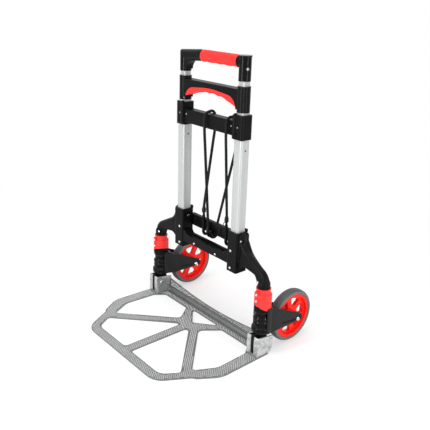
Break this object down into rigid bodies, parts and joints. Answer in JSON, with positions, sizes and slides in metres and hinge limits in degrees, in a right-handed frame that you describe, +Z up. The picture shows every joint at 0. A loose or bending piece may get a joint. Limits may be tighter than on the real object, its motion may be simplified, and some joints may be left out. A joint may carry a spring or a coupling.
{
  "type": "folding hand truck",
  "caption": "Folding hand truck with nested sliding handles, a windowed fold-up toe plate, spoked wheels on swivelling forks and elastic cords looped over its top bridge",
  "frame": {"origin": "centre of the footprint on the floor the toe plate and wheels stand on", "axes": "+Z up along the rails, -Y forward over the toe plate, +Y back to the wheels, +X to the viewer's right when it is seen from the front"},
  "size_m": [0.4652, 0.442, 0.694],
  "materials": {
    "rail_aluminium": "satin drawn tube",
    "black_plastic": "moulded, low gloss with bright edges",
    "red_plastic": "moulded, smooth",
    "red_rubber": "soft grip, satin",
    "grey_rubber": "grey rubber, satin tread",
    "bush_nylon": "turned",
    "zinc_steel": "bright zinc",
    "ear_steel": "pressed sheet, bright zinc",
    "plate_aluminium": "ribbed top face, satin",
    "elastic_cord": "braided sheath",
    "coated_steel": "dark dipped wire",
    "ferrule_plastic": "moulded"
  },
  "bodies": {
    "frame": {"left_rail": "rail_aluminium", "right_rail": "rail_aluminium", "top_bridge": "black_plastic", "bridge_screws": "zinc_steel", "left_shoulder": "black_plastic", "right_shoulder": "black_plastic", "rear_beam": "black_plastic", "lower_crossbar": "black_plastic", "frame_rivets": "zinc_steel", "left_leg": "zinc_steel", "right_leg": "zinc_steel", "left_cuff": "red_plastic", "right_cuff": "red_plastic", "left_sleeve": "black_plastic", "right_sleeve": "black_plastic", "cuff_screws": "zinc_steel", "left_foot": "black_plastic", "right_foot": "black_plastic", "thrust_washers": "zinc_steel", "left_bungee": "elastic_cord", "right_bungee": "elastic_cord", "bungee_ferrules": "ferrule_plastic", "bungee_hooks": "coated_steel"},
    "mid_handle": {"left_mid_tube": "rail_aluminium", "right_mid_tube": "rail_aluminium", "mid_tube_plugs": "black_plastic", "mid_handle": "black_plastic", "mid_grip": "red_rubber", "collar_screw": "zinc_steel"},
    "top_handle": {"left_inner_tube": "rail_aluminium", "right_inner_tube": "rail_aluminium", "inner_tube_plugs": "black_plastic", "left_elbow": "black_plastic", "right_post": "black_plastic", "handle_core": "zinc_steel", "top_grip": "red_rubber", "post_screw": "zinc_steel"},
    "left_button": {"left_rail_button": "black_plastic"},
    "right_button": {"right_rail_button": "black_plastic"},
    "handle_button": {"handle_button": "black_plastic"},
    "left_carrier": {"left_barrel": "black_plastic", "left_fork": "black_plastic", "left_axle": "zinc_steel"},
    "right_carrier": {"right_barrel": "black_plastic", "right_fork": "black_plastic", "right_axle": "zinc_steel"},
    "left_wheel": {"left_tyre": "grey_rubber", "left_wheel": "red_plastic", "left_wheel_bush": "bush_nylon"},
    "right_wheel": {"right_tyre": "grey_rubber", "right_wheel": "red_plastic", "right_wheel_bush": "bush_nylon"},
    "toe_plate": {"toe_plate": "plate_aluminium", "left_ear": "ear_steel", "right_ear": "ear_steel", "left_hinge_pin": "zinc_steel", "right_hinge_pin": "zinc_steel"}
  },
  "joints": [
    {"name": "mid_slide", "type": "slide", "parent": "frame", "child": "mid_handle", "axis": [0, 0, 1], "range_m": [0, 0.15]},
    {"name": "top_slide", "type": "slide", "parent": "mid_handle", "child": "top_handle", "axis": [0, 0, 1], "range_m": [0, 0.15]},
    {"name": "left_button_press", "type": "slide", "parent": "frame", "child": "left_button", "axis": [0, 0, -1], "range_m": [0, 0.003], "stiffness_N_per_m": 500},
    {"name": "right_button_press", "type": "slide", "parent": "frame", "child": "right_button", "axis": [0, 0, -1], "range_m": [0, 0.003], "stiffness_N_per_m": 500},
    {"name": "handle_button_press", "type": "slide", "parent": "mid_handle", "child": "handle_button", "axis": [0, 0, -1], "range_m": [0, 0.003], "stiffness_N_per_m": 500},
    {"name": "plate_fold", "type": "hinge", "parent": "frame", "child": "toe_plate", "pos_m": [0, 0.04, 0.035], "axis": [-1, 0, 0], "range_deg": [0, 90]},
    {"name": "left_swivel", "type": "hinge", "parent": "frame", "child": "left_carrier", "pos_m": [-0.205, 0.051, 0.1], "axis": [0, 0, 1], "range_deg": [-90, 0]},
    {"name": "right_swivel", "type": "hinge", "parent": "frame", "child": "right_carrier", "pos_m": [0.205, 0.051, 0.1], "axis": [0, 0, 1], "range_deg": [0, 90]},
    {"name": "left_wheel_spin", "type": "hinge", "parent": "left_carrier", "child": "left_wheel", "pos_m": [-0.201, 0.153, 0.068], "axis": [1, 0, 0], "continuous": true},
    {"name": "right_wheel_spin", "type": "hinge", "parent": "right_carrier", "child": "right_wheel", "pos_m": [0.201, 0.153, 0.068], "axis": [1, 0, 0], "continuous": true}
  ],
  "couplings": [
    {"joint": "left_swivel", "follows": "plate_fold", "ratio": -1},
    {"joint": "right_swivel", "follows": "plate_fold", "ratio": 1}
  ]
}
